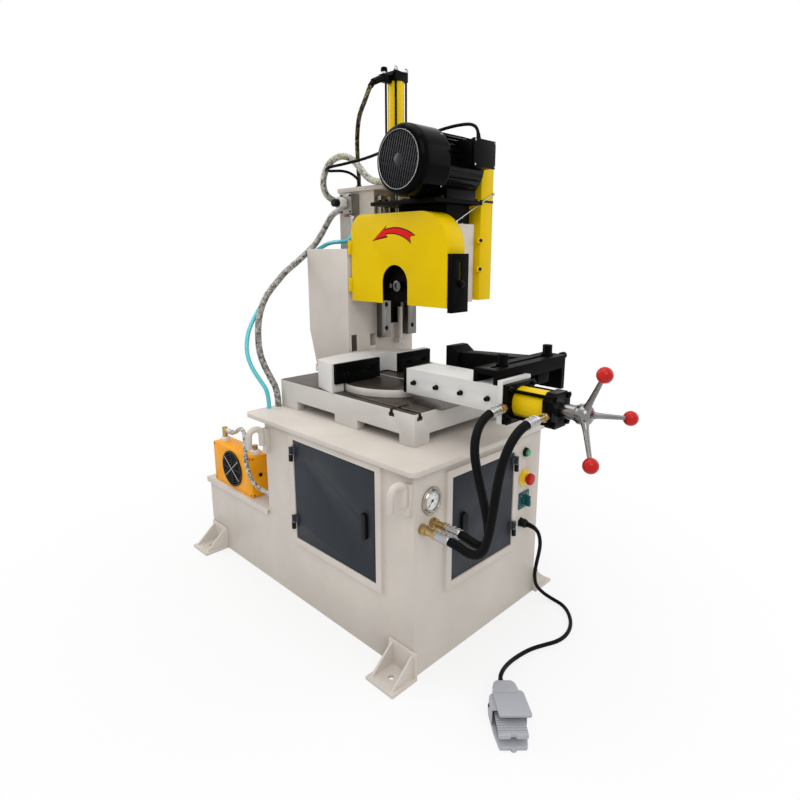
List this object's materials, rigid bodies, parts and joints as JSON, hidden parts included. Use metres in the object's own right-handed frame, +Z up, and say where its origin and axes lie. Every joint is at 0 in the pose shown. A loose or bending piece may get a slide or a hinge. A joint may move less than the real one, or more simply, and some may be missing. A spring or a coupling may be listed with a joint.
{
  "type": "pipe cutting machine",
  "caption": "Floor-standing circular saw for cutting pipe: swivelling column with sliding saw head, table with hydraulic vice, cabinet base, oil cooler and foot switch",
  "frame": {"origin": "on the floor, midway between the four anchor holes", "axes": "+X to the operator's right, +Y to the back, +Z up"},
  "size_m": [0.82, 1.601, 1.847],
  "materials": {
    "cabinet_paint": "textured enamel",
    "door_paint": "textured enamel",
    "vice_paint": "satin enamel",
    "tray_paint": "enamel",
    "table_iron": "painted sides, ground top",
    "ground_steel": "ground",
    "black_steel": "black oxide",
    "guard_paint": "gloss enamel",
    "cooler_paint": "gloss enamel",
    "motor_paint": "gloss enamel",
    "bright": "polished",
    "barrel": "gloss enamel",
    "valve_paint": "satin enamel",
    "brass": "turned",
    "black_plastic": "moulded",
    "red_plastic": "moulded",
    "green_plastic": "moulded",
    "hose_rubber": "smooth",
    "teal_hose": "smooth",
    "foil": "foil wrapped",
    "film": "film wrapped",
    "pedal_paint": "satin",
    "teal_plastic": "moulded"
  },
  "bodies": {
    "base": {"cabinet": "cabinet_paint", "tank_lid": "cabinet_paint", "chip_tray": "tray_paint", "floor_brackets": "cabinet_paint", "lifting_hooks": "cabinet_paint", "table_casting": "table_iron", "jaw_block": "cabinet_paint", "fixed_jaw_plates": "vice_paint", "vice_bed": "ground_steel", "cooler_case": "cooler_paint", "brass_fittings": "brass", "panel_fittings": "black_plastic", "power_unit": "motor_paint", "electrics_plate": "black_plastic", "foot_switch": "pedal_paint", "foot_cord": "hose_rubber", "clamp_hose_a": "hose_rubber", "clamp_hose_b": "hose_rubber", "main_bundle": "film", "coolant_hose": "teal_hose", "cooler_hose": "foil"},
    "column": {"turntable": "ground_steel", "column": "cabinet_paint", "column_cover": "cabinet_paint", "guide_rails": "ground_steel", "feed_cylinder": "barrel", "valve_block": "valve_paint", "top_bundle": "film", "feed_hose": "film"},
    "head": {"gearbox": "cabinet_paint", "motor_plate": "vice_paint", "motor_body": "motor_paint", "belt_cover": "guard_paint", "guard_shell": "guard_paint", "feed_rod": "bright", "belts": "hose_rubber", "motor_cable": "hose_rubber"},
    "vice_slide": {"vice_slide": "cabinet_paint", "moving_jaw": "vice_paint", "cross_bar": "vice_paint", "clamp_cylinder": "barrel"},
    "clamp_piston": {"clamp_piston": "bright"},
    "handwheel": {"handwheel": "bright", "handwheel_balls": "red_plastic"},
    "left_door": {"left_door": "door_paint"},
    "left_latch": {"left_latch": "black_plastic"},
    "front_door": {"front_door": "door_paint"},
    "front_latch": {"front_latch": "black_plastic"},
    "start_button": {"start_button": "green_plastic"},
    "estop_button": {"estop_button": "red_plastic"},
    "selector_knob": {"selector_knob": "teal_plastic"},
    "gauge_needle": {"gauge_needle": "black_plastic"},
    "cooler_fan": {"cooler_fan": "black_plastic"},
    "foot_pedal": {"foot_pedal": "pedal_paint"},
    "valve_knob": {"valve_knob": "black_plastic"},
    "guard_door": {"guard_door": "guard_paint"},
    "guard_skirt": {"guard_skirt": "vice_paint"},
    "spindle": {"spindle": "black_steel"},
    "input_shaft": {"input_shaft": "ground_steel"},
    "motor_rotor": {"motor_rotor": "ground_steel"}
  },
  "joints": [
    {"name": "swivel", "type": "hinge", "parent": "base", "child": "column", "pos_m": [0.056, -0.14, 0.738], "axis": [0, 0, 1], "range_deg": [-30, 0], "deforming": ["main_bundle", "coolant_hose"]},
    {"name": "head_feed", "type": "slide", "parent": "column", "child": "head", "axis": [0, 0, 1], "range_m": [-0.125, 0], "deforming": ["top_bundle", "motor_cable"]},
    {"name": "guard_door_hinge", "type": "hinge", "parent": "head", "child": "guard_door", "pos_m": [0.009, 0.047, 1.15], "axis": [0, 0, 1], "range_deg": [-100, 0]},
    {"name": "guard_skirt_slide", "type": "slide", "parent": "head", "child": "guard_skirt", "axis": [0, 0, 1], "range_m": [-0.014, 0]},
    {"name": "motor_spin", "type": "hinge", "parent": "head", "child": "motor_rotor", "pos_m": [0, -0.284, 1.468], "axis": [1, 0, 0], "continuous": true},
    {"name": "input_spin", "type": "hinge", "parent": "head", "child": "input_shaft", "pos_m": [0.1, -0.175, 1.1555], "axis": [1, 0, 0], "continuous": true},
    {"name": "spindle_spin", "type": "hinge", "parent": "head", "child": "spindle", "pos_m": [0.1, -0.175, 1.088], "axis": [1, 0, 0], "continuous": true},
    {"name": "vice_travel", "type": "slide", "parent": "base", "child": "vice_slide", "axis": [0, 1, 0], "range_m": [0, 0.195], "deforming": ["clamp_hose_a", "clamp_hose_b"]},
    {"name": "clamp_stroke", "type": "slide", "parent": "vice_slide", "child": "clamp_piston", "axis": [0, -1, 0], "range_m": [0, 0.012]},
    {"name": "handwheel_turn", "type": "hinge", "parent": "clamp_piston", "child": "handwheel", "pos_m": [-0.024, -0.9, 0.797], "axis": [0, 1, 0], "range_deg": [0, 7021]},
    {"name": "left_door_hinge", "type": "hinge", "parent": "base", "child": "left_door", "pos_m": [-0.327, -0.031, 0.42], "axis": [0, 0, 1], "range_deg": [-110, 0]},
    {"name": "left_latch_turn", "type": "hinge", "parent": "left_door", "child": "left_latch", "pos_m": [-0.317, -0.392, 0.413], "axis": [1, 0, 0], "range_deg": [0, 90]},
    {"name": "front_door_hinge", "type": "hinge", "parent": "base", "child": "front_door", "pos_m": [0.147, -0.601, 0.413], "axis": [0, 0, 1], "range_deg": [0, 110]},
    {"name": "front_latch_turn", "type": "hinge", "parent": "front_door", "child": "front_latch", "pos_m": [-0.11, -0.591, 0.413], "axis": [0, -1, 0], "range_deg": [0, 90]},
    {"name": "start_press", "type": "slide", "parent": "base", "child": "start_button", "axis": [0, 1, 0], "range_m": [0, 0.004], "stiffness_N_per_m": 800, "springref_m": -0.002},
    {"name": "estop_press", "type": "slide", "parent": "base", "child": "estop_button", "axis": [0, 1, 0], "range_m": [0, 0.005], "stiffness_N_per_m": 2000, "springref_m": -0.002},
    {"name": "selector_turn", "type": "hinge", "parent": "base", "child": "selector_knob", "pos_m": [0.221, -0.59, 0.385], "axis": [0, 1, 0], "range_deg": [-45, 45]},
    {"name": "gauge_turn", "type": "hinge", "parent": "base", "child": "gauge_needle", "pos_m": [-0.241, -0.589, 0.53], "axis": [0, 1, 0], "range_deg": [0, 270]},
    {"name": "cooler_fan_spin", "type": "hinge", "parent": "base", "child": "cooler_fan", "pos_m": [-0.27, 0.4175, 0.367], "axis": [1, 0, 0], "continuous": true},
    {"name": "pedal_press", "type": "hinge", "parent": "base", "child": "foot_pedal", "pos_m": [-0.21457, -0.83157, 0.038], "axis": [0.7071, -0.7071, 0], "range_deg": [0, 7], "stiffness_Nm_per_rad": 5, "springref_deg": -20.05},
    {"name": "valve_turn", "type": "hinge", "parent": "column", "child": "valve_knob", "pos_m": [0.06, 0.185, 1.378], "axis": [-1, 0, 0], "range_deg": [0, 270]}
  ],
  "couplings": [
    {"joint": "input_spin", "follows": "motor_spin", "ratio": 0.53333},
    {"joint": "spindle_spin", "follows": "motor_spin", "ratio": -0.26667},
    {"joint": "handwheel_turn", "follows": "vice_travel", "rad_per_m": 628.32}
  ]
}
